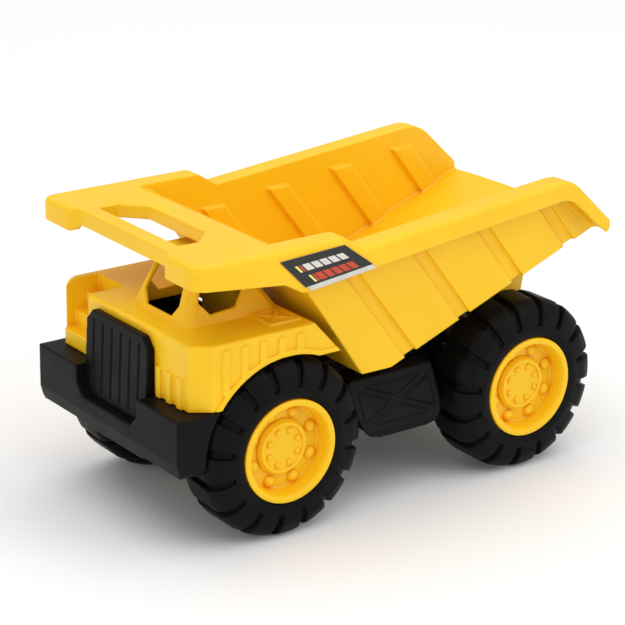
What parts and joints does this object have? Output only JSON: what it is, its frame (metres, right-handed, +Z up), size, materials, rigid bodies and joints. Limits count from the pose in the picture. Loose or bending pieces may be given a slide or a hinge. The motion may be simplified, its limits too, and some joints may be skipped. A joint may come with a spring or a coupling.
{
  "type": "toy dump truck",
  "caption": "Plastic toy dump truck with a tipping bed that has a hand slot in its canopy, a hollow cab and free-rolling wheels.",
  "frame": {"origin": "middle of the bounding box's footprint, on the ground under the tyres", "axes": "+Y towards the tail of the bed (the front faces -Y), +X towards the truck's left side, +Z up"},
  "size_m": [0.153, 0.29, 0.168],
  "materials": {
    "yellow_plastic": "moulded yellow plastic with a satin sheen",
    "black_plastic": "moulded black plastic with a satin sheen",
    "tyre_black": "moulded black tyre, matt on the tread and satin on the wall",
    "steel": "plain drawn steel",
    "label_film": "printed film sticker"
  },
  "bodies": {
    "chassis": {"chassis_frame": "black_plastic", "radiator_grille": "black_plastic", "cab_shell": "yellow_plastic", "front_axle": "steel", "rear_axle": "steel", "bed_hinge_pin": "steel", "pin_nut_left": "steel", "pin_nut_right": "steel", "cab_screw_1": "steel", "cab_screw_2": "steel", "cab_screw_3": "steel", "cab_screw_4": "steel", "axle_nut_front_left": "steel", "axle_nut_front_right": "steel", "axle_nut_rear_left": "steel", "axle_nut_rear_right": "steel"},
    "tipper": {"tipper_bed": "yellow_plastic", "side_label_left": "label_film", "side_label_right": "label_film"},
    "wheel_front_left": {"tyre_front_left": "tyre_black", "wheel_rim_front_left": "yellow_plastic", "rim_backing_front_left": "yellow_plastic", "hub_cap_front_left": "yellow_plastic"},
    "wheel_front_right": {"tyre_front_right": "tyre_black", "wheel_rim_front_right": "yellow_plastic", "rim_backing_front_right": "yellow_plastic", "hub_cap_front_right": "yellow_plastic"},
    "wheel_rear_left": {"tyre_rear_left": "tyre_black", "wheel_rim_rear_left": "yellow_plastic", "rim_backing_rear_left": "yellow_plastic", "hub_cap_rear_left": "yellow_plastic"},
    "wheel_rear_right": {"tyre_rear_right": "tyre_black", "wheel_rim_rear_right": "yellow_plastic", "rim_backing_rear_right": "yellow_plastic", "hub_cap_rear_right": "yellow_plastic"}
  },
  "joints": [
    {"name": "bed_tip", "type": "hinge", "parent": "chassis", "child": "tipper", "pos_m": [0, 0.111, 0.0845], "axis": [-1, 0, 0], "range_deg": [0, 50]},
    {"name": "front_left_spin", "type": "hinge", "parent": "chassis", "child": "wheel_front_left", "pos_m": [0.057, -0.077, 0.05], "axis": [1, 0, 0], "continuous": true},
    {"name": "front_right_spin", "type": "hinge", "parent": "chassis", "child": "wheel_front_right", "pos_m": [-0.057, -0.077, 0.05], "axis": [1, 0, 0], "continuous": true},
    {"name": "rear_left_spin", "type": "hinge", "parent": "chassis", "child": "wheel_rear_left", "pos_m": [0.057, 0.089, 0.05], "axis": [1, 0, 0], "continuous": true},
    {"name": "rear_right_spin", "type": "hinge", "parent": "chassis", "child": "wheel_rear_right", "pos_m": [-0.057, 0.089, 0.05], "axis": [1, 0, 0], "continuous": true}
  ]
}
